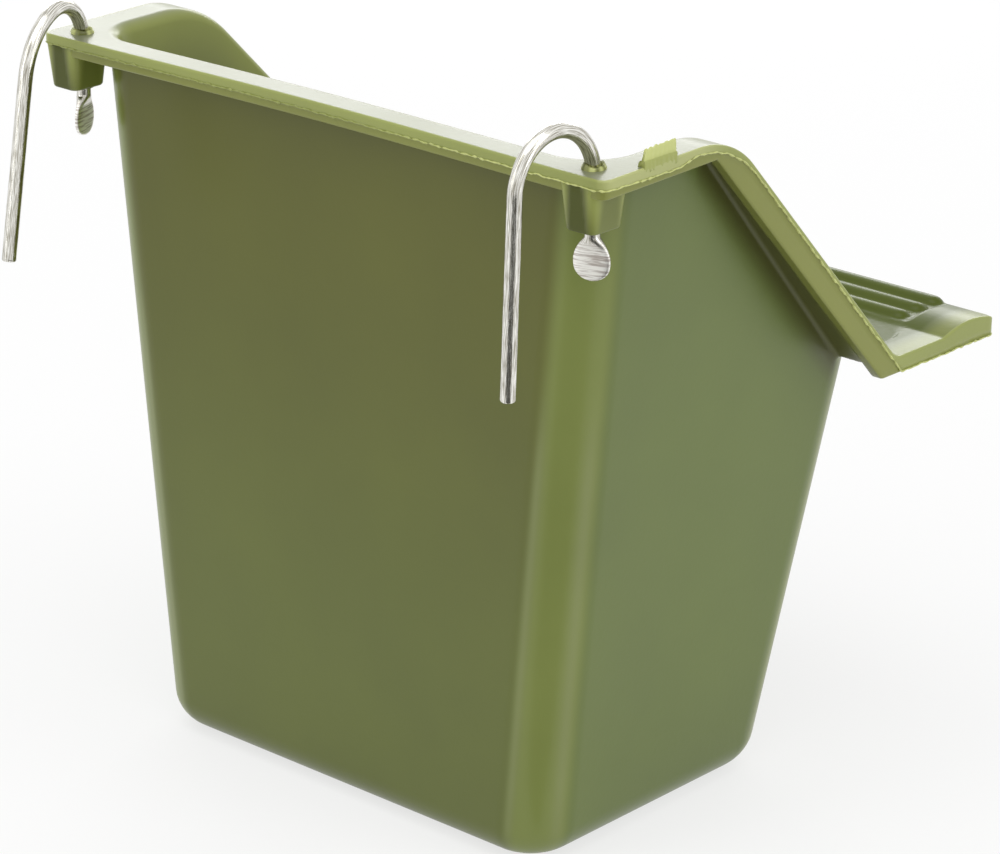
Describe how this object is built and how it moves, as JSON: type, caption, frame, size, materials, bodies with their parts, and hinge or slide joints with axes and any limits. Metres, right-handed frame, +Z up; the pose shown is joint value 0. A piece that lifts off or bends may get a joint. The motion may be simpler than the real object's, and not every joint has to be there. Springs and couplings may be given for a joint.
{
  "type": "feed cup",
  "caption": "Tapered cage feed cup with a sloping rim, a ribbed front perch and swivelling wire hooks that hang it on cage wires.",
  "frame": {"origin": "centre of the flat underside of the cup", "axes": "+Z up, +Y towards the cage side with the hooks, -Y towards the perch; +X is the left side as seen from the cage side"},
  "size_m": [0.092, 0.0932, 0.0981],
  "materials": {
    "olive_plastic": "glossy moulded olive green polypropylene, slightly see-through",
    "bright_wire": "bright drawn and plated steel wire"
  },
  "bodies": {
    "cup_body": {"cup": "olive_plastic"},
    "left_hook_body": {"left_hook": "bright_wire"},
    "right_hook_body": {"right_hook": "bright_wire"}
  },
  "joints": [
    {"name": "left_hook_swivel", "type": "hinge", "parent": "cup_body", "child": "left_hook_body", "pos_m": [0.04202, 0.0245, 0.0916], "axis": [0, 0, 1], "range_deg": [-169, 51]},
    {"name": "right_hook_swivel", "type": "hinge", "parent": "cup_body", "child": "right_hook_body", "pos_m": [-0.04152, 0.0245, 0.0916], "axis": [0, 0, 1], "range_deg": [-66, 154]}
  ]
}
